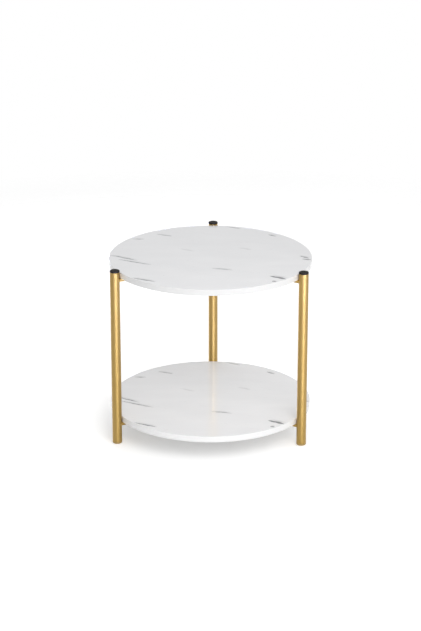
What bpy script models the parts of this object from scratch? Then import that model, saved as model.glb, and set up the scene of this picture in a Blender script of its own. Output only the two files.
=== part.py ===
"""A two-tier round coffee table: two marble-effect boards on three gold tube legs.

The origin is on the floor at the middle of the table's footprint, +Z is up and the back leg stands on +Y.
Each leg carries two pressed brackets. A screw goes up through each bracket into an insert in the board.
"""

import math

import bmesh
import bpy

# Heights above the floor, in metres
OVERALL_HEIGHT = 0.450
SHELF_HEIGHT = 0.069
TUBE_RISE = 0.002

# Boards
BOARD_DIAMETER = 0.500
BOARD_THICKNESS = 0.015
LAMINATE_THICKNESS = 0.0008
BACKING_THICKNESS = 0.0008
EDGE_BAND_THICKNESS = 0.0010
EDGE_BAND_ROUNDING = 0.0006

# Legs and their plugs
TUBE_DIAMETER = 0.024
TUBE_WALL = 0.0012
CAP_HEAD_HEIGHT = 0.004
CAP_RIM_RADIUS = 0.0015
FOOT_HEAD_HEIGHT = 0.005
FOOT_RIM_RADIUS = 0.0025
PLUG_SHANK_LENGTH = 0.016
PLUG_SHANK_WALL = 0.0018
PLUG_BARB_DEPTH = 0.0012
PLUG_BARBS = 3

# Brackets, pressed from sheet with a turned-down flange
BRACKET_SHEET = 0.002
BRACKET_REACH = 0.038
BRACKET_FLANGE_DROP = 0.0045

# Screws and threaded inserts
SCREW_DIAMETER = 0.006
SCREW_HEAD_DIAMETER = 0.0105
SCREW_HEAD_HEIGHT = 0.0033
SCREW_SOCKET_FLATS = 0.004
SCREW_SOCKET_DEPTH = 0.0018
SCREW_HEAD_ROOM = 0.00275
SCREW_SHORTFALL = 0.0015
INSERT_WALL = 0.0018
INSERT_FLANGE_WIDTH = 0.0014
INSERT_COVER = 0.003

# Clearances
BOARD_TO_TUBE = 0.0004
GLUE_LINE = 0.0001
SEAT_GAP = 0.0002
PLUG_CLEARANCE = 0.0003
WELD_GAP = 0.0002
THREAD_CLEARANCE = 0.0003
SCREW_HOLE_CLEARANCE = 0.0005
INSERT_CLEARANCE = 0.0002
INSERT_END_GAP = 0.0005

# Facets round a full turn
BOARD_SIDES = 84
TUBE_SIDES = 48
PLUG_SIDES = 24
FASTENER_SIDES = 16
HEX_SIDES = 6
ARC_STEPS = 3
SMOOTH_ANGLE = math.radians(35)

# Places worked out from the sizes above
BOARD_RADIUS = BOARD_DIAMETER / 2
TUBE_RADIUS = TUBE_DIAMETER / 2
TUBE_BORE_RADIUS = TUBE_RADIUS - TUBE_WALL
LEG_CIRCLE_RADIUS = BOARD_RADIUS + BOARD_TO_TUBE + TUBE_RADIUS
FOOTPRINT_MIDDLE = (LEG_CIRCLE_RADIUS + TUBE_RADIUS - BOARD_RADIUS) / 2
TUBE_BOTTOM = FOOT_HEAD_HEIGHT + SEAT_GAP
TUBE_TOP = OVERALL_HEIGHT - CAP_HEAD_HEIGHT - SEAT_GAP
SHEET_RADIUS = BOARD_RADIUS - EDGE_BAND_THICKNESS - GLUE_LINE
CORE_BOTTOM = BACKING_THICKNESS + GLUE_LINE
CORE_TOP = BOARD_THICKNESS - LAMINATE_THICKNESS - GLUE_LINE
BRACKET_HALF_WIDTH = SCREW_HEAD_DIAMETER / 2 + SCREW_HEAD_ROOM + BRACKET_SHEET
BRACKET_END_CENTRE = TUBE_RADIUS + BRACKET_REACH - BRACKET_HALF_WIDTH
BRACKET_DEPTH = BRACKET_SHEET + BRACKET_FLANGE_DROP
SCREW_RADIUS = SCREW_DIAMETER / 2
SCREW_CIRCLE_RADIUS = LEG_CIRCLE_RADIUS - BRACKET_END_CENTRE
INSERT_BORE_RADIUS = SCREW_RADIUS + THREAD_CLEARANCE
INSERT_RADIUS = INSERT_BORE_RADIUS + INSERT_WALL
INSERT_FLANGE_RADIUS = INSERT_RADIUS + INSERT_FLANGE_WIDTH
INSERT_HOLE_TOP = CORE_TOP - INSERT_COVER
INSERT_TOP = INSERT_HOLE_TOP - INSERT_END_GAP
SCREW_TIP = INSERT_TOP - SCREW_SHORTFALL

# Underside of each board above the floor, and the angle of each leg round the boards' axis
TIERS = {"top": TUBE_TOP - TUBE_RISE - BOARD_THICKNESS, "shelf": SHELF_HEIGHT - BOARD_THICKNESS}
LEGS = {"left": math.radians(210), "right": math.radians(330), "back": math.radians(90)}

# Colour, roughness and metallic value of each finish
FINISHES = {
    "wood_core": ((0.62, 0.48, 0.33), 0.80, 0.0),
    "marble_laminate": ((0.86, 0.86, 0.85), 0.12, 0.0),
    "white_backing": ((0.83, 0.83, 0.82), 0.45, 0.0),
    "white_edge_band": ((0.90, 0.90, 0.89), 0.18, 0.0),
    "gold_plated_steel": ((0.83, 0.64, 0.33), 0.26, 1.0),
    "black_plastic": ((0.030, 0.028, 0.026), 0.45, 0.0),
    "gold_plastic": ((0.52, 0.39, 0.18), 0.42, 0.2),
    "zinc_plated_steel": ((0.62, 0.62, 0.60), 0.35, 1.0),
    "brass_insert": ((0.72, 0.55, 0.27), 0.38, 1.0),
}


def clear_scene():
    for item in list(bpy.data.objects):
        bpy.data.objects.remove(item)


def make_finish(name):
    colour, roughness, metallic = FINISHES[name]
    material = bpy.data.materials.new(name)
    material.use_nodes = True
    material.diffuse_color = (*colour, 1)
    shader = material.node_tree.nodes["Principled BSDF"]
    shader.inputs["Base Color"].default_value = (*colour, 1)
    shader.inputs["Roughness"].default_value = roughness
    shader.inputs["Metallic"].default_value = metallic
    return material


def finished_mesh(name, builder):
    """Turn a bmesh into a mesh with its faces pointing out and its round sides smooth."""
    bmesh.ops.recalc_face_normals(builder, faces=builder.faces)
    mesh = bpy.data.meshes.new(name)
    builder.to_mesh(mesh)
    builder.free()
    mesh.shade_smooth()
    mesh.set_sharp_from_angle(angle=SMOOTH_ANGLE)
    return mesh


def turned(name, profile, sides, is_ring=False):
    """Turn a profile of (radius, height) points about Z. A ring's profile closes on itself."""
    builder = bmesh.new()
    corners = [builder.verts.new((radius, 0, height)) for radius, height in profile]
    edges = [builder.edges.new(pair) for pair in zip(corners, corners[1:])]
    if is_ring:
        edges.append(builder.edges.new((corners[-1], corners[0])))
    bmesh.ops.spin(
        builder,
        geom=corners + edges,
        axis=(0, 0, 1),
        cent=(0, 0, 0),
        angle=math.tau,
        steps=sides,
        use_merge=True,
    )
    bmesh.ops.remove_doubles(builder, verts=builder.verts, dist=1e-7)
    return finished_mesh(name, builder)


def disc(name, radius, low, high, sides):
    return turned(name, [(0, high), (radius, high), (radius, low), (0, low)], sides)


def prism(name, outline, low, high):
    """Raise a flat outline of (x, y) points from one height to another."""
    builder = bmesh.new()
    base = builder.faces.new([builder.verts.new((x, y, low)) for x, y in outline])
    raised = bmesh.ops.extrude_face_region(builder, geom=[base])
    moved = [item for item in raised["geom"] if isinstance(item, bmesh.types.BMVert)]
    bmesh.ops.translate(builder, verts=moved, vec=(0, 0, high - low))
    return finished_mesh(name, builder)


def arc(centre, radius, start, end, steps):
    """Points along an arc, both ends included, angles in degrees."""
    angles = [math.radians(start + (end - start) * step / steps) for step in range(steps + 1)]
    return [(centre[0] + radius * math.cos(a), centre[1] + radius * math.sin(a)) for a in angles]


def cut(body, *cutters):
    """Take the cutter meshes out of a body mesh."""
    target = bpy.data.objects.new(body.name, body)
    bpy.context.collection.objects.link(target)
    tools = []
    for mesh in cutters:
        tool = bpy.data.objects.new(mesh.name, mesh)
        tool.hide_render = True
        tool.display_type = "WIRE"
        bpy.context.collection.objects.link(tool)
        modifier = target.modifiers.new(mesh.name, "BOOLEAN")
        modifier.operation = "DIFFERENCE"
        modifier.solver = "EXACT"
        modifier.object = tool
        tools.append(tool)
    graph = bpy.context.evaluated_depsgraph_get()
    result = bpy.data.meshes.new_from_object(target.evaluated_get(graph))
    for item in [target, *tools]:
        bpy.data.objects.remove(item)
    result.set_sharp_from_angle(angle=SMOOTH_ANGLE)
    return result


def moved_copy(mesh, x, y):
    copy = mesh.copy()
    for vertex in copy.vertices:
        vertex.co.x += x
        vertex.co.y += y
    return copy


def insert_holes(radius, low, high):
    """One hole cutter over each bracket's screw."""
    hole = disc("insert_hole", radius, low, high, FASTENER_SIDES)
    return [
        moved_copy(hole, SCREW_CIRCLE_RADIUS * math.cos(turn), SCREW_CIRCLE_RADIUS * math.sin(turn))
        for turn in LEGS.values()
    ]


def core_mesh():
    """The board's core, with a blind hole for each insert in its underside."""
    plain = disc("core", SHEET_RADIUS, CORE_BOTTOM, CORE_TOP, BOARD_SIDES)
    radius = INSERT_RADIUS + INSERT_CLEARANCE
    return cut(plain, *insert_holes(radius, 0, INSERT_HOLE_TOP))


def laminate_mesh():
    low = BOARD_THICKNESS - LAMINATE_THICKNESS
    return disc("laminate", SHEET_RADIUS, low, BOARD_THICKNESS, BOARD_SIDES)


def backing_mesh():
    """The sheet under the core, cut out round each insert's flange."""
    plain = disc("backing", SHEET_RADIUS, 0, BACKING_THICKNESS, BOARD_SIDES)
    radius = INSERT_FLANGE_RADIUS + INSERT_CLEARANCE
    return cut(plain, *insert_holes(radius, -BACKING_THICKNESS, 2 * BACKING_THICKNESS))


def edge_band_mesh():
    """The strip round the rim, its outer corners eased."""
    inner = BOARD_RADIUS - EDGE_BAND_THICKNESS
    easing = min(EDGE_BAND_ROUNDING, EDGE_BAND_THICKNESS * 0.9)
    profile = [
        (inner, BOARD_THICKNESS),
        (BOARD_RADIUS - easing, BOARD_THICKNESS),
        (BOARD_RADIUS, BOARD_THICKNESS - easing),
        (BOARD_RADIUS, easing),
        (BOARD_RADIUS - easing, 0),
        (inner, 0),
    ]
    return turned("edge_band", profile, BOARD_SIDES, is_ring=True)


def tube_mesh():
    profile = [
        (TUBE_BORE_RADIUS, TUBE_TOP),
        (TUBE_RADIUS, TUBE_TOP),
        (TUBE_RADIUS, TUBE_BOTTOM),
        (TUBE_BORE_RADIUS, TUBE_BOTTOM),
    ]
    return turned("tube", profile, TUBE_SIDES, is_ring=True)


def plug_mesh(name, head_height, rim_radius):
    """A plug for a tube's end: a rounded head above zero and a barbed hollow shank below it."""
    rim = min(rim_radius, head_height * 0.9)
    barb_radius = TUBE_BORE_RADIUS - PLUG_CLEARANCE
    shank_radius = barb_radius - PLUG_BARB_DEPTH
    pitch = PLUG_SHANK_LENGTH / PLUG_BARBS
    profile = [(0, head_height)]
    profile += arc((TUBE_RADIUS - rim, head_height - rim), rim, 90, 0, ARC_STEPS)
    profile += [(TUBE_RADIUS, 0), (shank_radius, 0)]
    for number in range(PLUG_BARBS):
        top = -pitch * number
        profile.append((barb_radius, top - pitch / 2))
        profile.append((shank_radius, top - pitch))
    hollow = shank_radius - PLUG_SHANK_WALL
    profile += [(hollow, -PLUG_SHANK_LENGTH), (hollow, 0), (0, 0)]
    return turned(name, profile, PLUG_SIDES)


def tab_outline(half_width):
    """A tab that runs from the leg's axis towards the table's axis and ends in a half round."""
    end = arc((BRACKET_END_CENTRE, 0), half_width, -90, 90, 4 * ARC_STEPS)
    return [(0, -half_width), *end, (0, half_width)]


def bracket_mesh():
    """A pressed tray with its open end coped to the tube and its flange turned down. Its seat is at zero."""
    plate = prism("bracket", tab_outline(BRACKET_HALF_WIDTH), -BRACKET_DEPTH, 0)
    low, high = -2 * BRACKET_DEPTH, BRACKET_DEPTH
    tray = prism("tray", tab_outline(BRACKET_HALF_WIDTH - BRACKET_SHEET), low, -BRACKET_SHEET)
    cope = disc("cope", TUBE_RADIUS + WELD_GAP, low, high, TUBE_SIDES)
    hole = disc("hole", SCREW_RADIUS + SCREW_HOLE_CLEARANCE, low, high, FASTENER_SIDES)
    return cut(plate, tray, cope, moved_copy(hole, BRACKET_END_CENTRE, 0))


def screw_mesh():
    """A button-head socket screw. Its head hangs below zero and its shank rises to the tip."""
    length = SCREW_TIP + 2 * SEAT_GAP + BRACKET_SHEET
    point = SCREW_RADIUS * 0.2
    head_radius = SCREW_HEAD_DIAMETER / 2
    crown_radius = head_radius * 0.6
    profile = [
        (0, length),
        (SCREW_RADIUS - point, length),
        (SCREW_RADIUS, length - point),
        (SCREW_RADIUS, 0),
        (head_radius, 0),
        (head_radius, -SCREW_HEAD_HEIGHT * 0.2),
        (head_radius * 0.87, -SCREW_HEAD_HEIGHT * 0.68),
        (crown_radius, -SCREW_HEAD_HEIGHT),
        (0, -SCREW_HEAD_HEIGHT),
    ]
    plain = turned("screw", profile, FASTENER_SIDES)
    socket_radius = SCREW_SOCKET_FLATS / math.sqrt(3)
    socket_top = SCREW_SOCKET_DEPTH - SCREW_HEAD_HEIGHT
    socket = disc("socket", socket_radius, -2 * SCREW_HEAD_HEIGHT, socket_top, HEX_SIDES)
    return cut(plain, socket)


def insert_mesh():
    """A threaded insert: a sleeve with a flange that lies in the backing sheet."""
    lead = INSERT_WALL / 2
    profile = [
        (INSERT_BORE_RADIUS, INSERT_TOP),
        (INSERT_RADIUS - lead, INSERT_TOP),
        (INSERT_RADIUS, INSERT_TOP - lead),
        (INSERT_RADIUS, BACKING_THICKNESS),
        (INSERT_FLANGE_RADIUS, BACKING_THICKNESS),
        (INSERT_FLANGE_RADIUS, SEAT_GAP),
        (INSERT_BORE_RADIUS, SEAT_GAP),
    ]
    return turned("insert", profile, FASTENER_SIDES, is_ring=True)


def place(name, mesh, finish, parent, location=(0, 0, 0), tilt=0.0):
    """Make a named piece from a mesh and seat it under its parent."""
    piece = bpy.data.objects.new(name, mesh)
    bpy.context.collection.objects.link(piece)
    if not mesh.materials:
        mesh.materials.append(finish)
    piece.parent = parent
    piece.location = location
    piece.rotation_euler.x = tilt
    return piece


def make_empty(name, location, parent=None):
    empty = bpy.data.objects.new(name, None)
    bpy.context.collection.objects.link(empty)
    empty.location = location
    empty.parent = parent
    return empty


def build_board(prefix, underside, finishes, table):
    """One board of four layers, glued together."""
    layers = {
        "core": (core_mesh(), "wood_core"),
        "laminate": (laminate_mesh(), "marble_laminate"),
        "backing": (backing_mesh(), "white_backing"),
        "edge_band": (edge_band_mesh(), "white_edge_band"),
    }
    for layer, (mesh, finish) in layers.items():
        place(f"{prefix}_{layer}", mesh, finishes[finish], table, (0, 0, underside))


def build_leg(side, turn, meshes, finishes, table):
    """One leg with its plugs, brackets, screws and inserts. Its own +X points at the table's axis."""
    middle = (LEG_CIRCLE_RADIUS * math.cos(turn), LEG_CIRCLE_RADIUS * math.sin(turn), 0)
    leg = make_empty(f"{side}_leg_place", middle, table)
    leg.rotation_euler.z = turn + math.pi
    gold = finishes["gold_plated_steel"]
    place(f"{side}_leg_tube", meshes["tube"], gold, leg)
    place(f"{side}_leg_cap", meshes["cap"], finishes["black_plastic"], leg, (0, 0, TUBE_TOP + SEAT_GAP))
    foot_seat = (0, 0, FOOT_HEAD_HEIGHT)
    place(f"{side}_leg_foot", meshes["foot"], finishes["gold_plastic"], leg, foot_seat, math.pi)
    for tier, underside in TIERS.items():
        seat = underside - SEAT_GAP
        head_seat = (BRACKET_END_CENTRE, 0, seat - BRACKET_SHEET - SEAT_GAP)
        place(f"{side}_{tier}_bracket", meshes["bracket"], gold, leg, (0, 0, seat))
        place(f"{side}_{tier}_screw", meshes["screw"], finishes["zinc_plated_steel"], leg, head_seat)
        over_screw = (BRACKET_END_CENTRE, 0, underside)
        place(f"{side}_{tier}_insert", meshes["insert"], finishes["brass_insert"], leg, over_screw)


def main():
    clear_scene()
    finishes = {name: make_finish(name) for name in FINISHES}
    table = make_empty("table_axis", (0, -FOOTPRINT_MIDDLE, 0))
    build_board("top_board", TIERS["top"], finishes, table)
    build_board("shelf", TIERS["shelf"], finishes, table)
    meshes = {
        "tube": tube_mesh(),
        "cap": plug_mesh("cap", CAP_HEAD_HEIGHT, CAP_RIM_RADIUS),
        "foot": plug_mesh("foot", FOOT_HEAD_HEIGHT, FOOT_RIM_RADIUS),
        "bracket": bracket_mesh(),
        "screw": screw_mesh(),
        "insert": insert_mesh(),
    }
    for side, turn in LEGS.items():
        build_leg(side, turn, meshes, finishes, table)


main()
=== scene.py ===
"""The two-tier coffee table, dressed: finer pieces, materials, a floor, lights and a camera."""

import math

import bmesh
import bpy
from mathutils import Matrix, Vector


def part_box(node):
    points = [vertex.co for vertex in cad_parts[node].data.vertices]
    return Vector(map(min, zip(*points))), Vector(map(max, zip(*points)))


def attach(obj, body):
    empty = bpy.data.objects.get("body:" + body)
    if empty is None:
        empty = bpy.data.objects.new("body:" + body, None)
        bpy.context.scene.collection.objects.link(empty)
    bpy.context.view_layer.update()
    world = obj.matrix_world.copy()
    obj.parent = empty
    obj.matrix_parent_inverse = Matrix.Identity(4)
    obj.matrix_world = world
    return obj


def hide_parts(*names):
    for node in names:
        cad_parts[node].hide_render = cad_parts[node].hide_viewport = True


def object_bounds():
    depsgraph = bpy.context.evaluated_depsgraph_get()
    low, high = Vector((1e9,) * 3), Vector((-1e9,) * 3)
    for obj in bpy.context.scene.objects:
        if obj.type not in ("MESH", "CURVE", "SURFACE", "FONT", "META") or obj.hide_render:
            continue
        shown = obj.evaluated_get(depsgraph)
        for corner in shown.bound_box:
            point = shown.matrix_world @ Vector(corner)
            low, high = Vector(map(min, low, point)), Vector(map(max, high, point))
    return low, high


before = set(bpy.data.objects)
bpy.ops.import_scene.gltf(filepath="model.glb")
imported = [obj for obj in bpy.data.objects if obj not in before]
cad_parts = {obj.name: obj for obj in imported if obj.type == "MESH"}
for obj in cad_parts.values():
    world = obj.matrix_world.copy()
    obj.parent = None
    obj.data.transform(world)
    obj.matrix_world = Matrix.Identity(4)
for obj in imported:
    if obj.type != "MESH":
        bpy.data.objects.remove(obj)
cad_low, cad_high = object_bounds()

MM = 0.001
BODY = "root"
SIDES = ("left", "right", "back")
TIERS = {"top": "top_board", "shelf": "shelf"}

# Facets round a full turn
BOARD_SIDES = 252
TUBE_SIDES = 96
PLUG_SIDES = 72
FASTENER_SIDES = 36
THREAD_SIDES = 24
HEX_SIDES = 6

# Steps along a curve, and how meshes are merged and shaded
ARC_STEPS = 5
TAB_SIDE_STEPS = 6
TAB_END_STEPS = 30
WELD_ACROSS_STEPS = 6
WELD_ALONG_STEPS = 30
THREAD_ROWS_PER_PITCH = 8
MERGE_DISTANCE = 1e-7
SMOOTH_ANGLE = math.radians(35)

# How far from a corner the flats beside its rounding get a point of their own, in reaches of the rounding
SUPPORT = 1.5

# Between bracket and tube, bracket and screw head, and round an insert's flange
CLEARANCE = 0.2 * MM

# Boards. FACE_RINGS gives the shares of a face's radius at which it has rings of points
BAND_THICKNESS = 1.0 * MM
BAND_ROUNDING = 0.6 * MM
BAND_INNER_EASING = 0.05 * MM
BAND_SEAM_GAP = 0.15 * MM
BAND_SEAM_TURN = math.radians(74)
FACE_EASING = 0.06 * MM
FACE_RINGS = (0.4, 0.8)

# Legs and their plugs. A dished head has a knee, at a share of its flat's radius and of the dish's depth
TUBE_WALL = 1.2 * MM
TUBE_END_EASING = 0.3 * MM
CAP_RIM_RADIUS = 1.5 * MM
CAP_DISH = 0.25 * MM
DISH_KNEE_RADIUS = 0.55
DISH_KNEE_DEPTH = 0.8
FOOT_HEAD_HEIGHT = 5.0 * MM
FOOT_RIM_RADIUS = 2.5 * MM
PLUG_EDGE_EASING = 0.25 * MM
PLUG_SHANK_WALL = 1.8 * MM
PLUG_BARB_DEPTH = 1.2 * MM
PLUG_CLEARANCE = 0.3 * MM
PLUG_BARBS = 3

# Brackets and their welds
SHEET = 2.0 * MM
BEND_RADIUS = 0.6 * MM
FLANGE_EDGE_EASING = 0.3 * MM
SCREW_HOLE_RADIUS = 3.5 * MM
WELD_ON_TUBE = 2.0 * MM
WELD_ON_FLANGE = 2.6 * MM
WELD_CROWN = 0.45 * MM
WELD_BURIED = 0.15 * MM
WELD_RIPPLES = 5
WELD_RIPPLE_SHARE = 0.035
WELD_END_SIZE = 0.25
WELD_END_POWER = 8

# Screws. The head's dome is given as shares of its radius and of its height below the seat
SCREW_RADIUS = 3.0 * MM
SCREW_PITCH = 1.0 * MM
SCREW_THREAD_DEPTH = 0.5 * MM
SCREW_NECK_SHARE = 1.2
SCREW_TIP_SHARE = 0.8
SCREW_SOCKET_FLATS = 4.0 * MM
SCREW_SOCKET_DEPTH = 1.8 * MM
SOCKET_POINT_SHARE = 0.3
SCREW_DOME = (
    (0.60, 1.00),
    (0.74, 0.92),
    (0.85, 0.74),
    (0.93, 0.50),
    (0.98, 0.26),
    (1.00, 0.14),
    (1.00, 0.03),
    (0.98, 0.00),
)

# Inserts, and the ridge of a thread
INSERT_BORE_RADIUS = 3.3 * MM
INSERT_RADIUS = 5.1 * MM
INSERT_PITCH = 2.0 * MM
INSERT_THREAD_DEPTH = 0.6 * MM
INSERT_FLANGE = 0.6 * MM
INSERT_TIP_SHARE = 1.5
RIDGE_TOP = 1.6
RIDGE_STEEPNESS = 4

# Streaks of the printed marble, from the boards' axis: x, y, length, turn in degrees, width and darkness
STREAKS_MM = (
    (-213, -17, 84, -29, 5.2, 1.00),
    (-184, -49, 96, -27, 4.4, 1.00),
    (-154, -181, 66, -26, 5.6, 1.00),
    (166, -157, 48, -29, 17.0, 1.00),
    (156, -185, 12, -8, 7.5, 1.00),
    (30, -97, 54, -15, 4.2, 0.90),
    (-185, 133, 32, -4, 5.5, 0.75),
    (-121, 166, 42, -22, 5.0, 0.80),
    (52, 234, 48, -27, 5.0, 0.75),
    (152, 171, 26, -36, 6.0, 0.85),
    (230, 0, 32, -36, 6.5, 1.00),
    (236, -18, 26, -14, 5.6, 1.00),
    (84, 62, 36, -25, 3.2, 0.40),
    (-58, 48, 42, -30, 3.2, 0.35),
)
STREAK_WANDER = 9.0 * MM
STREAK_GRAIN = (0.45, 1.35)
STREAK_LEAST_WIDTH = 0.02 * MM
STREAK_EDGE_POWER = 0.7
STREAK_HALO = 9.0 * MM
STREAK_HALO_DARKNESS = 0.22

# Camera, fitted to the photograph's outline. Its frame is 421 by 631 pixels
PHOTO_HEIGHT = 631
FOCAL_PIXELS = 2082.4
CAMERA_DISTANCE = 5.2
CAMERA_ELEVATION = 0.3616
CAMERA_AZIMUTH = 0.0253
CAMERA_PITCH = 0.3501
CAMERA_REACH = 50.0
SENSOR = 36.0

# Soft boxes: the key at the front right, a fill behind, one near above the front and a low one at the front
KEY_AZIMUTH = math.radians(24)
KEY_DISTANCE = 2.2
KEY_HEIGHT = 1.7
KEY_SIZE = (1.95, 1.3)
KEY_RADIANCE = 2.98
FILL_PLACE = (-0.4, 1.6, 1.0)
FILL_SIZE = (1.5, 1.0)
FILL_RADIANCE = 2.0
NEAR_PLACE = (0.1, -0.95, 1.2)
NEAR_SIZE = (1.0, 0.6)
NEAR_RADIANCE = 1.19
LOW_PLACE = (0.31, -1.0, 0.07)
LOW_SIZE = (1.3, 0.12)
LOW_RADIANCE = 0.57
LOW_SPREAD = math.radians(45)

# Reflectors: a front panel tilted upwards, a panel behind and a small strip for the back leg
PANEL_PLACE = (0.62, -1.6, 0.45)
PANEL_AIM = (0.0, 0.0, 1.2)
PANEL_SIZE = (2.2, 0.26)
PANEL_RADIANCE = 14.0
PANEL_SPREAD = math.radians(90)
BACK_PANEL_PLACE = (-0.74, 1.6, 0.25)
BACK_PANEL_RADIANCE = 14.0
STRIP_PLACE = (0.24, -1.5, 0.14)
STRIP_SIZE = (0.30, 0.16)
STRIP_RADIANCE = 0.55
STRIP_SPREAD = math.radians(11)
REFLECTOR_TINT = (0.90, 1.0, 1.75)

# Sky and floor. The fades are heights on the sky's sphere, and the shares are of the floor's radius
SKY_HORIZON = 1.0
SKY_RING = 0.33
SKY_LEFT = 0.20
SKY_RIGHT = 1.28
SKY_FADE = (0.0, 0.16)
RING_FADE = (0.46, 0.62)
FLOOR_RADIUS = 2.4
FLOOR_SOLID_SHARE = 0.45
FLOOR_CLEAR_SHARE = 0.96
FLOOR_COLOUR = 0.88
FLOOR_SPECKLE = 0.01
FLOOR_LIFT = 0.32


def node_box(node):
    """Middle, lowest and highest corner of a CAD node."""
    low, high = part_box(node)
    return (low + high) / 2, low, high


def half_extent(node):
    """Half of a CAD node's extent along X."""
    _, low, high = node_box(node)
    return (high.x - low.x) / 2


TABLE_AXIS = node_box("top_board_laminate")[0].xy
BOARD_RADIUS = half_extent("top_board_edge_band")
TUBE_RADIUS = half_extent("right_leg_tube")
TUBE_BOTTOM = node_box("right_leg_tube")[1].z
TUBE_TOP = node_box("right_leg_tube")[2].z


def leg_matrix(side):
    """From a leg's own frame, its +X towards the table's axis, to the row frame."""
    middle = node_box(f"{side}_leg_tube")[0].xy
    inward = TABLE_AXIS - middle
    turn = math.atan2(inward.y, inward.x)
    return Matrix.Translation((middle.x, middle.y, 0)) @ Matrix.Rotation(turn, 4, "Z")


# Mesh helpers


def show(name, data):
    """An object in the scene for a mesh, a lamp or a camera."""
    made = bpy.data.objects.new(name, data)
    bpy.context.scene.collection.objects.link(made)
    return made


def smoothed(mesh):
    """Shade a mesh's round sides smooth and keep its corners sharp."""
    mesh.shade_smooth()
    mesh.set_sharp_from_angle(angle=SMOOTH_ANGLE)
    return mesh


def finished_mesh(name, builder):
    """Turn a bmesh into a mesh with its faces pointing out and its round sides smooth."""
    bmesh.ops.recalc_face_normals(builder, faces=builder.faces)
    mesh = bpy.data.meshes.new(name)
    builder.to_mesh(mesh)
    builder.free()
    return smoothed(mesh)


def moved(mesh, matrix):
    """A copy of a mesh, moved."""
    copy = mesh.copy()
    copy.transform(matrix)
    return copy


def arc(middle, radius, start, end, steps):
    """Points along an arc, both ends included, angles in radians."""
    angles = [start + (end - start) * step / steps for step in range(steps + 1)]
    return [Vector((middle[0] + radius * math.cos(a), middle[1] + radius * math.sin(a))) for a in angles]


def rounded_corner(before, here, after, rounding):
    """A corner as a small arc, with a point each side of it that keeps the flats' shading flat."""
    back = (before - here).normalized()
    ahead = (after - here).normalized()
    half = back.angle(ahead) / 2
    reach = rounding / math.tan(half)
    middle = here + (back + ahead).normalized() * (rounding / math.sin(half))
    first = here + back * reach - middle
    last = here + ahead * reach - middle
    start = math.atan2(first.y, first.x)
    sweep = math.atan2(last.y, last.x) - start
    sweep = (sweep + math.pi) % math.tau - math.pi
    curve = arc(middle, rounding, start, start + sweep, ARC_STEPS)
    return [here + back * reach * SUPPORT, *curve, here + ahead * reach * SUPPORT]


def rounded(corners):
    """A profile's points from its (radius, height, rounding) corners."""
    spots = [Vector(corner[:2]) for corner in corners]
    points = []
    for number, (_, _, rounding) in enumerate(corners):
        here = spots[number]
        if rounding == 0:
            points.append(here)
            continue
        points += rounded_corner(spots[number - 1], here, spots[(number + 1) % len(spots)], rounding)
    return points


def turned(name, profile, sides, is_ring=False):
    """Turn a profile of (radius, height) points about Z. A ring's profile closes on itself."""
    builder = bmesh.new()
    corners = [builder.verts.new((point[0], 0, point[1])) for point in profile]
    edges = [builder.edges.new(pair) for pair in zip(corners, corners[1:])]
    if is_ring:
        edges.append(builder.edges.new((corners[-1], corners[0])))
    bmesh.ops.spin(
        builder,
        geom=corners + edges,
        axis=(0, 0, 1),
        cent=(0, 0, 0),
        angle=math.tau,
        steps=sides,
        use_merge=True,
    )
    bmesh.ops.remove_doubles(builder, verts=builder.verts, dist=MERGE_DISTANCE)
    return finished_mesh(name, builder)


def skin(builder, rows):
    """Faces between neighbouring rows of corners."""
    for row, following in zip(rows, rows[1:]):
        for number in range(len(row) - 1):
            builder.faces.new((row[number], row[number + 1], following[number + 1], following[number]))


def lofted(name, rings):
    """Skin over closed rings of points, all of one length, with a face over the first and the last."""
    builder = bmesh.new()
    rows = [[builder.verts.new(point) for point in ring] for ring in rings]
    skin(builder, [[*row, row[0]] for row in rows])
    builder.faces.new(rows[0])
    builder.faces.new(rows[-1])
    return finished_mesh(name, builder)


def corners_at(builder, points, height):
    """New corners at flat points, all at one height."""
    return [builder.verts.new((point.x, point.y, height)) for point in points]


def joined(builder, pair):
    """The edge between two corners, made where there is none."""
    return builder.edges.get(pair) or builder.edges.new(pair)


def fill(builder, *chains):
    """Flat triangles within the outline that chains of corners make, and outside its holes."""
    edges = [joined(builder, pair) for chain in chains for pair in zip(chain, chain[1:])]
    bmesh.ops.triangle_fill(builder, use_beauty=True, use_dissolve=False, edges=edges)


def drill(radius, low, high, sides, point=0.0):
    """A cutter between two heights, its upper end raised to a point."""
    return turned("drill", [(0, high + point), (radius, high), (radius, low), (0, low)], sides)


def cut(body, *cutters):
    """Take the cutter meshes out of a body mesh."""
    target = show(body.name, body)
    tools = [show(mesh.name, mesh) for mesh in cutters]
    for tool in tools:
        modifier = target.modifiers.new(tool.name, "BOOLEAN")
        modifier.operation = "DIFFERENCE"
        modifier.solver = "EXACT"
        modifier.object = tool
    graph = bpy.context.evaluated_depsgraph_get()
    result = bpy.data.meshes.new_from_object(target.evaluated_get(graph))
    for item in [target, *tools]:
        bpy.data.objects.remove(item)
    return smoothed(result)


def add_piece(name, mesh, material, node=None):
    """Show a mesh as a piece of the table, in place of a CAD node where one is named."""
    piece = show(name, mesh)
    mesh.materials.clear()
    mesh.materials.append(material)
    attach(piece, BODY)
    if node:
        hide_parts(node)


# Material helpers


def is_output(value):
    """Whether a value is another node's output and not a constant."""
    return isinstance(value, bpy.types.NodeSocket)


def put(tree, kind, inputs=None, **settings):
    """Add a shader node. An input may be a constant or another node's output."""
    made = tree.nodes.new("ShaderNode" + kind)
    for key, value in settings.items():
        setattr(made, key, value)
    for key, value in (inputs or {}).items():
        socket = made.inputs[key]
        if is_output(value):
            tree.links.new(value, socket)
        else:
            socket.default_value = value
    return made


def calculate(tree, operation, first, second=0.0, clamp=False):
    """One step of arithmetic with numbers, held between 0 and 1 where clamped."""
    made = put(tree, "Math", {0: first, 1: second}, operation=operation, use_clamp=clamp)
    return made.outputs[0]


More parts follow.
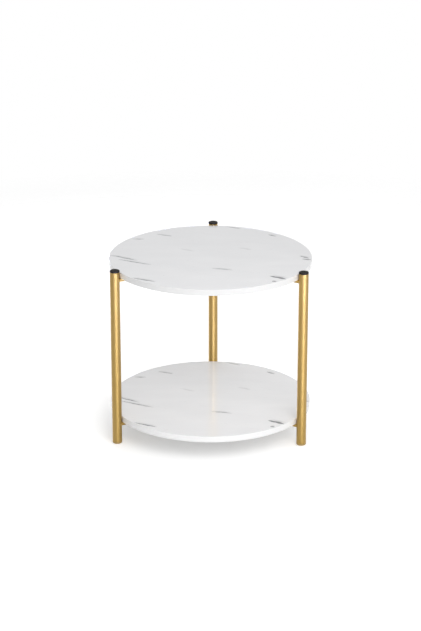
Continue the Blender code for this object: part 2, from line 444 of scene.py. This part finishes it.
def combine(tree, operation, first, second):
    """One step of arithmetic with vectors."""
    return put(tree, "VectorMath", {0: first, 1: second}, operation=operation).outputs[0]


def noise(tree, place, scale, detail=3.0, stretch=(1, 1, 1), turn=0.0):
    """Noise from 0 to 1 round 0.5, its grain stretched along the axes."""
    mapped = put(tree, "Mapping", {"Vector": place, "Scale": stretch, "Rotation": (0, 0, turn)})
    made = put(tree, "TexNoise", {"Vector": mapped.outputs[0], "Scale": scale, "Detail": detail})
    return made.outputs["Fac"]


def cells(tree, place, scale):
    """The outputs of scattered cells: each one's random colour, and the distance from its middle."""
    return put(tree, "TexVoronoi", {"Vector": place, "Scale": scale}).outputs


def red_of(tree, colour):
    """A colour's red, as one number."""
    return put(tree, "SeparateColor", {0: colour}).outputs[0]


def spread(tree, value, low, high, start=0.3, end=0.7):
    """Bring a value from one range, by default that of noise, into the range from low to high."""
    inputs = {"Value": value, "From Min": start, "From Max": end, "To Min": low, "To Max": high}
    return put(tree, "MapRange", inputs).outputs[0]


def blend_colour(tree, factor, first, second):
    """Mix two colours, each another node's output or its red, green and blue.

    The mix node has a set of sockets for each kind of data, so its colours go by number.
    """
    first, second = [colour if is_output(colour) else (*colour, 1.0) for colour in (first, second)]
    made = put(tree, "Mix", {0: factor, 6: first, 7: second}, data_type="RGBA")
    return made.outputs[2]


def new_material(name, **constants):
    """A material with its node tree, shader and the position in the row frame. Constants go on the shader."""
    material = bpy.data.materials.new(name)
    material.use_nodes = True
    tree = material.node_tree
    shader = tree.nodes["Principled BSDF"]
    for key, value in constants.items():
        shader.inputs[key.replace("_", " ")].default_value = value
    place = put(tree, "TexCoord").outputs["Object"]
    return material, tree, shader, place


def paint(tree, shader, factor, first, second):
    """Let a surface's colour vary between two colours."""
    tree.links.new(blend_colour(tree, factor, first, second), shader.inputs["Base Color"])


def roughen(tree, shader, value):
    """Let a surface's roughness follow a value."""
    tree.links.new(value, shader.inputs["Roughness"])


def set_bump(tree, shader, height, strength, distance):
    """Let a surface's bump follow a height."""
    inputs = {"Height": height, "Strength": strength, "Distance": distance}
    tree.links.new(put(tree, "Bump", inputs).outputs[0], shader.inputs["Normal"])


# Materials


def streak_group():
    """One printed streak: a thin tapered line with a soft grey halo on one side."""
    group = bpy.data.node_groups.new("marble_streak", "ShaderNodeTree")
    face = group.interface
    for name in ("Place", "Middle"):
        face.new_socket(name, in_out="INPUT", socket_type="NodeSocketVector")
    for name in ("Grain", "Turn", "Half Length", "Half Width", "Darkness"):
        face.new_socket(name, in_out="INPUT", socket_type="NodeSocketFloat")
    face.new_socket("Mark", in_out="OUTPUT", socket_type="NodeSocketFloat")
    given = group.nodes.new("NodeGroupInput").outputs
    result = group.nodes.new("NodeGroupOutput").inputs
    offset = combine(group, "SUBTRACT", given["Place"], given["Middle"])
    inputs = {"Vector": offset, "Angle": given["Turn"]}
    lined_up = put(group, "VectorRotate", inputs, rotation_type="Z_AXIS", invert=True).outputs[0]
    parts = put(group, "SeparateXYZ", {0: lined_up}).outputs
    along = calculate(group, "DIVIDE", parts["X"], given["Half Length"])
    taper = calculate(group, "SUBTRACT", 1.0, calculate(group, "MULTIPLY", along, along), clamp=True)
    ragged = calculate(group, "MULTIPLY", taper, given["Grain"])
    width = calculate(group, "MULTIPLY", given["Half Width"], ragged)
    width = calculate(group, "ADD", width, STREAK_LEAST_WIDTH)
    across = calculate(group, "DIVIDE", calculate(group, "ABSOLUTE", parts["Y"]), width)
    core = calculate(group, "SUBTRACT", 1.0, across, clamp=True)
    core = calculate(group, "POWER", core, STREAK_EDGE_POWER)
    beside = calculate(group, "ABSOLUTE", calculate(group, "SUBTRACT", parts["Y"], given["Half Width"]))
    halo = calculate(group, "SUBTRACT", 1.0, calculate(group, "DIVIDE", beside, STREAK_HALO), clamp=True)
    halo = calculate(group, "MULTIPLY", calculate(group, "MULTIPLY", halo, taper), STREAK_HALO_DARKNESS)
    mark = calculate(group, "MAXIMUM", core, halo)
    group.links.new(calculate(group, "MULTIPLY", mark, given["Darkness"]), result["Mark"])
    return group


def streak_marks(tree, place, grain):
    """How dark the print is at a place: the darkest streak counts."""
    group = streak_group()
    marks = 0.0
    for x, y, length, turn, width, darkness in STREAKS_MM:
        inputs = {
            "Place": place,
            "Grain": grain,
            "Middle": (x * MM, y * MM, 0),
            "Turn": math.radians(turn),
            "Half Length": length * MM / 2,
            "Half Width": width * MM / 2,
            "Darkness": darkness,
        }
        streak = put(tree, "Group", inputs, node_tree=group).outputs[0]
        marks = calculate(tree, "MAXIMUM", marks, streak)
    return marks


def marble_laminate():
    """High-gloss white sheet with sparse grey streaks and faint clouds, the same print on both boards."""
    material, tree, shader, place = new_material("marble_laminate", Coat_Weight=0.3, Coat_Roughness=0.04)
    board = combine(tree, "SUBTRACT", place, (TABLE_AXIS.x, TABLE_AXIS.y, 0))
    flat = combine(tree, "MULTIPLY", board, (1, 1, 0))
    wander = put(tree, "TexNoise", {"Vector": flat, "Scale": 45.0, "Detail": 4.0}).outputs["Color"]
    wander = combine(tree, "SUBTRACT", wander, (0.5, 0.5, 0.5))
    wander = combine(tree, "MULTIPLY", wander, (STREAK_WANDER, STREAK_WANDER, 0))
    wavy = combine(tree, "ADD", flat, wander)
    grain = spread(tree, noise(tree, flat, scale=90.0, detail=4.0), *STREAK_GRAIN)
    marks = streak_marks(tree, wavy, grain)
    clouds = noise(tree, wavy, scale=7.0, detail=5.0, stretch=(1.0, 2.6, 1.0), turn=math.radians(27))
    clouds = spread(tree, clouds, 0.0, 1.0)
    white = blend_colour(tree, clouds, (0.898, 0.899, 0.912), (0.938, 0.939, 0.950))
    paint(tree, shader, marks, white, (0.12, 0.125, 0.14))
    roughen(tree, shader, spread(tree, noise(tree, place, scale=160.0), 0.035, 0.075))
    set_bump(tree, shader, noise(tree, place, scale=220.0, detail=2.0), strength=0.03, distance=0.3 * MM)
    return material


def white_edge_band():
    """Extruded white strip with faint lines along it, its white painted darker than the face's: painted shade
    against the stronger light on the boards' upright edges.
    """
    material, tree, shader, place = new_material("white_edge_band", Specular_IOR_Level=0.15)
    lines = noise(tree, place, scale=60.0, stretch=(0.4, 0.4, 40.0))
    # Painted shade: the band's white is set darker than the face's white, to tone down the stronger light
    # that falls on the upright edges
    paint(tree, shader, lines, (0.795, 0.795, 0.80), (0.825, 0.825, 0.825))
    roughen(tree, shader, spread(tree, lines, 0.10, 0.16))
    set_bump(tree, shader, lines, strength=0.04, distance=0.1 * MM)
    return material


def white_backing():
    """Matt melamine with a fine pebbled surface."""
    material, tree, shader, place = new_material("white_backing")
    pebbles = cells(tree, place, scale=900.0)["Distance"]
    tint = noise(tree, place, scale=30.0, detail=4.0)
    paint(tree, shader, tint, (0.74, 0.74, 0.73), (0.81, 0.81, 0.80))
    roughen(tree, shader, spread(tree, tint, 0.42, 0.58))
    set_bump(tree, shader, pebbles, strength=0.12, distance=0.2 * MM)
    return material


def gold_frame():
    """Gold-plated steel: fine polishing rings round the tube and a slightly cloudy lacquer."""
    material, tree, shader, place = new_material(
        "gold_frame",
        Metallic=1.0,
        Coat_Weight=1.0,
        Coat_Roughness=0.45,
        Anisotropic=0.85,
        Anisotropic_Rotation=0.25,
    )
    tangent = put(tree, "Tangent", direction_type="RADIAL", axis="Z").outputs[0]
    tree.links.new(tangent, shader.inputs["Tangent"])
    rings = noise(tree, place, scale=90.0, stretch=(1.0, 1.0, 30.0))
    clouds = noise(tree, place, scale=35.0, detail=4.0)
    paint(tree, shader, clouds, (0.548, 0.350, 0.062), (0.608, 0.391, 0.076))
    rough = calculate(tree, "ADD", spread(tree, rings, 0.56, 0.61), spread(tree, clouds, 0.0, 0.02))
    roughen(tree, shader, rough)
    set_bump(tree, shader, rings, strength=0.05, distance=0.05 * MM)
    return material


def black_cap():
    """Moulded black plastic with a fine grain, a little greyed where it is handled."""
    material, tree, shader, place = new_material("black_cap", Specular_IOR_Level=0.2)
    grain = noise(tree, place, scale=1400.0)
    rubbed = noise(tree, place, scale=180.0, detail=4.0)
    paint(tree, shader, rubbed, (0.012, 0.010, 0.0085), (0.026, 0.021, 0.018))
    roughen(tree, shader, spread(tree, rubbed, 0.48, 0.62))
    set_bump(tree, shader, grain, strength=0.15, distance=0.15 * MM)
    return material


def gold_foot():
    """Gold-coloured plastic with fine flakes and faint scuffs, duller than the tube."""
    material, tree, shader, place = new_material("gold_foot", Metallic=0.55)
    flakes = red_of(tree, cells(tree, place, scale=3200.0)["Color"])
    scuffs = noise(tree, place, scale=150.0, detail=5.0, stretch=(1.0, 1.0, 3.0))
    paint(tree, shader, flakes, (0.42, 0.292, 0.112), (0.455, 0.322, 0.128))
    roughen(tree, shader, spread(tree, scuffs, 0.36, 0.52))
    set_bump(tree, shader, scuffs, strength=0.06, distance=0.1 * MM)
    return material


def patchy_metal(name, scale, dark, light, roughness):
    """Bare metal, mottled between two colours and two roughnesses."""
    material, tree, shader, place = new_material(name, Metallic=1.0)
    patches = noise(tree, place, scale, detail=4.0)
    paint(tree, shader, patches, dark, light)
    roughen(tree, shader, spread(tree, patches, *roughness))
    set_bump(tree, shader, patches, strength=0.05, distance=0.05 * MM)
    return material


def zinc_screw():
    """Zinc-plated steel."""
    return patchy_metal("zinc_screw", 320.0, (0.50, 0.51, 0.53), (0.66, 0.66, 0.64), (0.26, 0.42))


def brass_insert():
    """Plain brass."""
    return patchy_metal("brass_insert", 260.0, (0.58, 0.42, 0.17), (0.72, 0.55, 0.27), (0.30, 0.46))


def wood_core():
    """Pressed wood chips, hidden between the sheets and the edge band."""
    material, tree, shader, place = new_material("wood_core")
    chips = cells(tree, place, scale=420.0)
    chip = red_of(tree, chips["Color"])
    paint(tree, shader, chip, (0.36, 0.24, 0.13), (0.62, 0.47, 0.30))
    roughen(tree, shader, spread(tree, chip, 0.70, 0.90, 0.0, 1.0))
    set_bump(tree, shader, chips["Distance"], strength=0.4, distance=0.4 * MM)
    return material


# Board pieces


def face_mesh(low, high):
    """A thin round sheet that meets the edge band, its own edge hardly eased."""
    radius = BOARD_RADIUS - BAND_THICKNESS
    upper = [Vector((radius * share, high)) for share in FACE_RINGS]
    lower = [Vector((radius * share, low)) for share in reversed(FACE_RINGS)]
    rim = rounded([(0, high, 0), (radius, high, FACE_EASING), (radius, low, FACE_EASING), (0, low, 0)])
    return turned("face", [rim[0], *upper, *rim[1:-1], *lower, rim[-1]], BOARD_SIDES)


def backing_mesh(low, high):
    """The sheet under the board, cut out round each insert's flange."""
    holes = []
    for side in SIDES:
        insert = f"{side}_top_insert"
        hole = drill(half_extent(insert) + CLEARANCE, low - SHEET, high + SHEET, FASTENER_SIDES)
        offset = node_box(insert)[0].xy - TABLE_AXIS
        holes.append(moved(hole, Matrix.Translation(offset.to_3d())))
    return cut(face_mesh(low, high), *holes)


def band_mesh(low, high):
    """The strip round the rim, its two ends butted at the back with a hairline gap."""
    inner = BOARD_RADIUS - BAND_THICKNESS
    section = rounded(
        [
            (inner, high, BAND_INNER_EASING),
            (BOARD_RADIUS, high, BAND_ROUNDING),
            (BOARD_RADIUS, low, BAND_ROUNDING),
            (inner, low, BAND_INNER_EASING),
        ]
    )
    gap = BAND_SEAM_GAP / BOARD_RADIUS
    rings = []
    for step in range(BOARD_SIDES + 1):
        turn = BAND_SEAM_TURN + gap / 2 + (math.tau - gap) * step / BOARD_SIDES
        rings.append([(point.x * math.cos(turn), point.x * math.sin(turn), point.y) for point in section])
    return lofted("band", rings)


def build_boards(materials):
    """The printed face, the backing and the edge band of both boards."""
    to_axis = Matrix.Translation((TABLE_AXIS.x, TABLE_AXIS.y, 0))
    layers = {
        "laminate": (face_mesh, "marble_laminate"),
        "backing": (backing_mesh, "white_backing"),
        "edge_band": (band_mesh, "white_edge_band"),
    }
    for board in TIERS.values():
        for layer, (make, slot) in layers.items():
            node = f"{board}_{layer}"
            _, low, high = node_box(node)
            mesh = moved(make(low.z, high.z), to_axis)
            add_piece(f"{node}_finished", mesh, materials[slot], node)


def dress_cores(material):
    """The cores stay as they were packed, with their own material."""
    for board in TIERS.values():
        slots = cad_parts[f"{board}_core"].data.materials
        slots.clear()
        slots.append(material)


# Leg pieces


def tube_mesh():
    """A leg's tube, its ends eased inside and outside."""
    bore = TUBE_RADIUS - TUBE_WALL
    corners = [
        (bore, TUBE_TOP, TUBE_END_EASING),
        (TUBE_RADIUS, TUBE_TOP, TUBE_END_EASING),
        (TUBE_RADIUS, TUBE_BOTTOM, TUBE_END_EASING),
        (bore, TUBE_BOTTOM, TUBE_END_EASING),
    ]
    return turned("tube", rounded(corners), TUBE_SIDES, is_ring=True)


def plug_mesh(name, head_height, shank_length, rim_radius, dish):
    """A plug for a tube's end: a rounded head above zero, dished where asked, and a barbed hollow shank."""
    barb_radius = TUBE_RADIUS - TUBE_WALL - PLUG_CLEARANCE
    shank_radius = barb_radius - PLUG_BARB_DEPTH
    hollow = shank_radius - PLUG_SHANK_WALL
    pitch = shank_length / PLUG_BARBS
    flat = TUBE_RADIUS - rim_radius
    corners = [
        (0, head_height - dish, 0),
        (flat * DISH_KNEE_RADIUS, head_height - dish * DISH_KNEE_DEPTH, 0),
        (TUBE_RADIUS, head_height, rim_radius),
        (TUBE_RADIUS, 0, PLUG_EDGE_EASING),
        (shank_radius, 0, 0),
    ]
    for number in range(PLUG_BARBS):
        corners.append((barb_radius, -pitch * (number + 0.5), 0))
        corners.append((shank_radius, -pitch * (number + 1), 0))
    corners += [(hollow, -shank_length, 0), (hollow, 0, 0), (0, 0, 0)]
    return turned(name, rounded(corners), PLUG_SIDES)


def leg_plugs():
    """The cap and the foot in a leg's own frame, sized from the right leg's."""
    cap_low, cap_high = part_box("right_leg_cap")
    foot_low, foot_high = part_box("right_leg_foot")
    seat_gap = TUBE_BOTTOM - FOOT_HEAD_HEIGHT
    cap_seat = TUBE_TOP + seat_gap
    foot_seat = TUBE_BOTTOM - seat_gap
    cap = plug_mesh("cap", cap_high.z - cap_seat, cap_seat - cap_low.z, CAP_RIM_RADIUS, CAP_DISH)
    foot = plug_mesh("foot", foot_seat - foot_low.z, foot_high.z - foot_seat, FOOT_RIM_RADIUS, 0.0)
    turned_over = Matrix.Translation((0, 0, foot_seat)) @ Matrix.Rotation(math.pi, 4, "X")
    return {"cap": moved(cap, Matrix.Translation((0, 0, cap_seat))), "foot": moved(foot, turned_over)}


# Brackets, welds, screws and inserts


def bracket_section(depth):
    """The pressed edge, from the plate's top round the bend and the flange to the plate's underside.

    Each point is how far it lies inside the tab's outline and how high it lies.
    """
    outer = SHEET + BEND_RADIUS
    points = arc((outer, -outer), outer, math.pi / 2, math.pi, ARC_STEPS)
    lip = FLANGE_EDGE_EASING
    points += arc((lip, lip - depth), lip, math.pi, 1.5 * math.pi, ARC_STEPS)
    points += arc((SHEET - lip, lip - depth), lip, 1.5 * math.pi, math.tau, ARC_STEPS)
    points += arc((outer, -outer), BEND_RADIUS, math.pi, math.pi / 2, ARC_STEPS)
    return points


def tab_path(half_width, end_middle, cope_radius):
    """One side of the tab, its round end and the other side, from cope to cope."""
    start = math.sqrt(cope_radius**2 - half_width**2)
    side = [start + (end_middle - start) * step / TAB_SIDE_STEPS for step in range(TAB_SIDE_STEPS)]
    end = arc((end_middle, 0), half_width, -math.pi / 2, math.pi / 2, TAB_END_STEPS)
    return [Vector((x, -half_width)) for x in side] + end + [Vector((x, half_width)) for x in reversed(side)]


def bracket_mesh(half_width, end_middle, depth):
    """A pressed tray with its open end coped to the tube and its flange turned down. Its seat is at zero."""
    builder = bmesh.new()
    cope = TUBE_RADIUS + CLEARANCE
    rows = []
    for inset, height in bracket_section(depth):
        rows.append(corners_at(builder, tab_path(half_width - inset, end_middle, cope), height))
    skin(builder, rows)
    builder.faces.new([row[0] for row in rows])
    builder.faces.new([row[-1] for row in rows])
    reach = math.asin((half_width - SHEET - BEND_RADIUS) / cope)
    cope_arc = arc((0, 0), cope, reach, -reach, 2 * ARC_STEPS)[1:-1]
    hole_ring = arc((end_middle, 0), SCREW_HOLE_RADIUS, 0, math.tau, FASTENER_SIDES)[:-1]
    holes = []
    copes = []
    for row in (rows[0], rows[-1]):
        height = row[0].co.z
        edge = [row[-1], *corners_at(builder, cope_arc, height), row[0]]
        hole = corners_at(builder, hole_ring, height)
        hole.append(hole[0])
        fill(builder, row, edge, hole)
        holes.append(hole)
        copes.append(edge)
    skin(builder, holes)
    skin(builder, copes)
    return finished_mesh("bracket", builder)


def weld_ring(half_width, height, size):
    """Across a weld bead in the corner between the tube and a flange's outer face."""
    corner_turn = math.asin(half_width / TUBE_RADIUS)
    corner = TUBE_RADIUS * math.cos(corner_turn)
    tube_turn = corner_turn + WELD_ON_TUBE * size / TUBE_RADIUS
    flange_end = corner + WELD_ON_FLANGE * size
    first = Vector((TUBE_RADIUS * math.cos(tube_turn), TUBE_RADIUS * math.sin(tube_turn)))
    last = Vector((flange_end, half_width))
    outward = Vector((first.y - last.y, last.x - first.x)).normalized()
    points = []
    for step in range(WELD_ACROSS_STEPS + 1):
        share = step / WELD_ACROSS_STEPS
        crown = WELD_CROWN * size * math.sin(math.pi * share)
        points.append(first.lerp(last, share) + outward * crown)
    points.append(Vector((flange_end, half_width - WELD_BURIED)))
    points.append(Vector((corner, half_width - 2 * WELD_BURIED)))
    points.append(first * ((TUBE_RADIUS - WELD_BURIED) / TUBE_RADIUS))
    return [(point.x, point.y, height) for point in points]


def weld_mesh(half_width, low, high):
    """A short weld bead, rippled along its length and rounded off at its ends."""
    rings = []
    for step in range(WELD_ALONG_STEPS + 1):
        share = step / WELD_ALONG_STEPS
        ripple = 1 + WELD_RIPPLE_SHARE * math.cos(math.tau * WELD_RIPPLES * share)
        ending = math.sqrt(max(0.0, 1 - (2 * share - 1) ** WELD_END_POWER))
        rings.append(weld_ring(half_width, low + (high - low) * share, ripple * max(WELD_END_SIZE, ending)))
    return lofted("weld", rings)


def thread_radius(crest, depth, height, turn, pitch):
    """A screw thread's radius at a height and an angle: a flat-topped ridge that climbs one pitch a turn."""
    phase = (height / pitch - turn / math.tau) % 1.0
    ridge = max(0.0, min(1.0, RIDGE_TOP - abs(phase - 0.5) * RIDGE_STEEPNESS))
    return crest - depth * (1 - ridge)


def threaded_rows(crest, depth, low, high, pitch):
    """Rows of points up a thread, run out to the root at both ends."""
    count = max(2, round((high - low) / pitch * THREAD_ROWS_PER_PITCH))
    rows = []
    for number in range(count + 1):
        height = low + (high - low) * number / count
        fade = min(1.0, min(number, count - number) / THREAD_ROWS_PER_PITCH)
        row = []
        for side in range(THREAD_SIDES):
            turn = math.tau * side / THREAD_SIDES
            full = thread_radius(crest, depth, height, turn, pitch)
            radius = (crest - depth) + (full - crest + depth) * fade
            row.append((radius * math.cos(turn), radius * math.sin(turn), height))
        rows.append(row)
    return rows


def plain_row(radius, height):
    """A round row of points, as many as in a thread's rows."""
    turns = [math.tau * side / THREAD_SIDES for side in range(THREAD_SIDES)]
    return [(radius * math.cos(turn), radius * math.sin(turn), height) for turn in turns]


def screw_mesh(head_radius, low, seat, tip):
    """A button-head socket screw with a real thread, its head below its seat."""
    head = seat - low
    root = SCREW_RADIUS - SCREW_THREAD_DEPTH
    thread_low = seat + SHEET * SCREW_NECK_SHARE
    thread_high = tip - SCREW_PITCH / 2
    rows = [plain_row(head_radius * share, seat - head * drop) for share, drop in SCREW_DOME]
    rows += [plain_row(SCREW_RADIUS, seat), plain_row(SCREW_RADIUS, seat + SHEET)]
    rows += threaded_rows(SCREW_RADIUS, SCREW_THREAD_DEPTH, thread_low, thread_high, SCREW_PITCH)
    rows.append(plain_row(root * SCREW_TIP_SHARE, tip))
    socket_radius = SCREW_SOCKET_FLATS / math.sqrt(3)
    point = socket_radius * SOCKET_POINT_SHARE
    socket = drill(socket_radius, low - head, low + SCREW_SOCKET_DEPTH, HEX_SIDES, point)
    return cut(lofted("screw", rows), socket)


def insert_mesh(flange_radius, low, high):
    """A sleeve with a flange below, a coarse thread outside and a plain bore."""
    flange_top = low + INSERT_FLANGE
    lead = INSERT_THREAD_DEPTH
    thread_low = flange_top + lead / 2
    thread_high = high - lead / 2
    rows = [plain_row(flange_radius, low), plain_row(flange_radius, flange_top)]
    rows.append(plain_row(INSERT_RADIUS - lead, flange_top + lead / 4))
    rows += threaded_rows(INSERT_RADIUS, INSERT_THREAD_DEPTH, thread_low, thread_high, INSERT_PITCH)
    rows.append(plain_row(INSERT_RADIUS - INSERT_TIP_SHARE * lead, high))
    bore = drill(INSERT_BORE_RADIUS, low - lead, high + lead, THREAD_SIDES)
    return cut(lofted("insert", rows), bore)


def tier_pieces(tier):
    """Bracket, screw, insert and welds for one board, in a leg's own frame, sized from the back leg's."""
    bracket_node, screw_node, insert_node = [f"back_{tier}_{part}" for part in ("bracket", "screw", "insert")]
    _, bracket_low, bracket_high = node_box(bracket_node)
    screw_middle, screw_low, screw_high = node_box(screw_node)
    _, insert_low, insert_high = node_box(insert_node)
    half_width = half_extent(bracket_node)
    end_middle = node_box("back_leg_tube")[0].y - screw_middle.y
    seat = bracket_high.z
    bracket = bracket_mesh(half_width, end_middle, seat - bracket_low.z)
    screw = screw_mesh(half_extent(screw_node), screw_low.z, seat - SHEET - CLEARANCE, screw_high.z)
    insert = insert_mesh(half_extent(insert_node), insert_low.z, insert_high.z)
    weld = weld_mesh(half_width, bracket_low.z + FLANGE_EDGE_EASING / 2, seat - FLANGE_EDGE_EASING)
    other_weld = moved(weld, Matrix.Scale(-1, 4, (0, 1, 0)))
    other_weld.flip_normals()
    over_screw = Matrix.Translation((end_middle, 0, 0))
    return {
        "bracket": moved(bracket, Matrix.Translation((0, 0, seat))),
        "screw": moved(screw, over_screw),
        "insert": moved(insert, over_screw),
        "weld_a": weld,
        "weld_b": other_weld,
    }


def build_legs(materials):
    """The three legs, with their plugs, brackets, welds, screws and inserts."""
    leg_slots = {"tube": "gold_frame", "cap": "black_cap", "foot": "gold_foot"}
    tier_slots = {"bracket": "gold_frame", "screw": "zinc_screw", "insert": "brass_insert"}
    leg_meshes = {"tube": tube_mesh(), **leg_plugs()}
    tiers = {tier: tier_pieces(tier) for tier in TIERS}
    for side in SIDES:
        to_leg = leg_matrix(side)
        for part, mesh in leg_meshes.items():
            node = f"{side}_leg_{part}"
            slot = leg_slots[part]
            add_piece(f"{node}_finished", moved(mesh, to_leg), materials[slot], node)
        for tier, pieces in tiers.items():
            for part, mesh in pieces.items():
                node = f"{side}_{tier}_{part}"
                slot = tier_slots.get(part, "gold_frame")
                replaced = node if part in tier_slots else None
                add_piece(f"{node}_finished", moved(mesh, to_leg), materials[slot], replaced)


# Studio


def floor_material():
    """White floor, solid near the table and clear far from it and from below."""
    material = bpy.data.materials.new("studio_floor")
    material.use_nodes = True
    tree = material.node_tree
    tree.nodes.clear()
    place = put(tree, "TexCoord").outputs["Object"]
    away = put(tree, "VectorMath", {0: place}, operation="LENGTH").outputs["Value"]
    fade = spread(tree, away, 0.0, 1.0, FLOOR_RADIUS * FLOOR_SOLID_SHARE, FLOOR_RADIUS * FLOOR_CLEAR_SHARE)
    below = put(tree, "NewGeometry").outputs["Backfacing"]
    hidden = calculate(tree, "MAXIMUM", fade, below)
    path = put(tree, "LightPath").outputs
    seen = calculate(tree, "ADD", path["Is Camera Ray"], path["Is Glossy Ray"])
    seen = calculate(tree, "ADD", seen, path["Is Transmission Ray"], clamp=True)
    speckle = noise(tree, place, scale=40.0)
    tone = blend_colour(tree, speckle, [FLOOR_COLOUR] * 3, [FLOOR_COLOUR + FLOOR_SPECKLE] * 3)
    matt = put(tree, "BsdfDiffuse", {"Color": tone}).outputs[0]
    lift = put(tree, "Emission", {"Strength": calculate(tree, "MULTIPLY", seen, FLOOR_LIFT)}).outputs[0]
    solid = put(tree, "AddShader", {0: matt, 1: lift}).outputs[0]
    clear = put(tree, "BsdfTransparent").outputs[0]
    mixed = put(tree, "MixShader", {0: hidden, 1: solid, 2: clear}).outputs[0]
    put(tree, "OutputMaterial", {"Surface": mixed})
    return material


def build_floor():
    """A round floor under the table."""
    builder = bmesh.new()
    bmesh.ops.create_circle(builder, cap_ends=True, segments=BOARD_SIDES, radius=FLOOR_RADIUS)
    mesh = bpy.data.meshes.new("floor")
    builder.to_mesh(mesh)
    builder.free()
    mesh.materials.append(floor_material())
    floor = show("floor", mesh)


def build_sky():
    """White at the horizon and below it, a darker ring above it, and overhead darker left than right."""
    world = bpy.data.worlds.new("studio")
    world.use_nodes = True
    tree = world.node_tree
    toward = put(tree, "TexCoord").outputs["Generated"]
    parts = put(tree, "SeparateXYZ", {0: toward}).outputs
    overhead = spread(tree, parts["X"], SKY_LEFT, SKY_RIGHT, -1.0, 1.0)
    above = spread(tree, parts["Z"], SKY_RING, overhead, *RING_FADE)
    level = spread(tree, parts["Z"], SKY_HORIZON, above, *SKY_FADE)
    tree.links.new(level, tree.nodes["Background"].inputs["Color"])
    bpy.context.scene.world = world


def direction(azimuth, elevation):
    """From the table outwards, azimuth from the front to the right and elevation from the floor."""
    flat = math.cos(elevation)
    return Vector((math.sin(azimuth) * flat, -math.cos(azimuth) * flat, math.sin(elevation)))


def facing(ahead):
    """The turn of a lamp or a camera that looks ahead."""
    return ahead.to_track_quat("-Z", "Y").to_euler()


def build_softbox(name, place, size, radiance, aim, is_reflector=False, spread_angle=math.pi):
    """A soft box turned to a point, its light narrowed where a spread is given.

    Its power gives its face the wanted radiance. A reflector is tinted and shows in polished surfaces only,
    and the others light everything without showing in it.
    """
    lamp = bpy.data.lights.new(name, "AREA")
    lamp.shape = "RECTANGLE"
    lamp.size, lamp.size_y = size
    lamp.energy = radiance * math.pi * size[0] * size[1]
    lamp.spread = spread_angle
    if is_reflector:
        lamp.color = REFLECTOR_TINT
    box = show(name, lamp)
    box.location = place
    box.rotation_euler = facing(Vector(aim) - Vector(place))
    box.visible_camera = False
    box.visible_glossy = is_reflector
    box.visible_diffuse = not is_reflector


def build_lights():
    """Four soft boxes and three reflectors."""
    table = (0, 0, cad_high.z / 2)
    backwards = Vector((0, 1, 0))
    key_place = direction(KEY_AZIMUTH, 0) * KEY_DISTANCE + Vector((0, 0, KEY_HEIGHT))
    low_aim = Vector(LOW_PLACE) + backwards
    back_aim = Vector(BACK_PANEL_PLACE) - backwards
    strip_aim = node_box("back_leg_tube")[0].xy.to_3d() + Vector((0, 0, STRIP_PLACE[2]))
    build_softbox("key_softbox", key_place, KEY_SIZE, KEY_RADIANCE, table)
    build_softbox("fill_softbox", FILL_PLACE, FILL_SIZE, FILL_RADIANCE, table)
    build_softbox("near_softbox", NEAR_PLACE, NEAR_SIZE, NEAR_RADIANCE, table)
    build_softbox("low_softbox", LOW_PLACE, LOW_SIZE, LOW_RADIANCE, low_aim, spread_angle=LOW_SPREAD)
    build_softbox("front_panel", PANEL_PLACE, PANEL_SIZE, PANEL_RADIANCE, PANEL_AIM, True, PANEL_SPREAD)
    build_softbox("back_panel", BACK_PANEL_PLACE, PANEL_SIZE, BACK_PANEL_RADIANCE, back_aim, True)
    build_softbox("back_leg_strip", STRIP_PLACE, STRIP_SIZE, STRIP_RADIANCE, strip_aim, True, STRIP_SPREAD)


def build_camera():
    """The photograph's camera, which looks at the table from the front and above."""
    data = bpy.data.cameras.new("camera")
    data.sensor_width = SENSOR
    data.lens = FOCAL_PIXELS * SENSOR / PHOTO_HEIGHT
    data.clip_end = CAMERA_REACH
    camera = show("camera", data)
    middle = Vector((TABLE_AXIS.x, TABLE_AXIS.y, cad_high.z / 2))
    camera.location = middle + direction(CAMERA_AZIMUTH, CAMERA_ELEVATION) * CAMERA_DISTANCE
    camera.rotation_euler = facing(-direction(CAMERA_AZIMUTH, CAMERA_PITCH))
    bpy.context.scene.camera = camera


MATERIALS = {
    make.__name__: make()
    for make in (
        marble_laminate,
        white_edge_band,
        white_backing,
        gold_frame,
        black_cap,
        gold_foot,
        zinc_screw,
        brass_insert,
        wood_core,
    )
}
build_boards(MATERIALS)
build_legs(MATERIALS)
dress_cores(MATERIALS["wood_core"])
build_floor()
build_sky()
build_lights()
build_camera()
bpy.context.scene.view_settings.view_transform = "Standard"
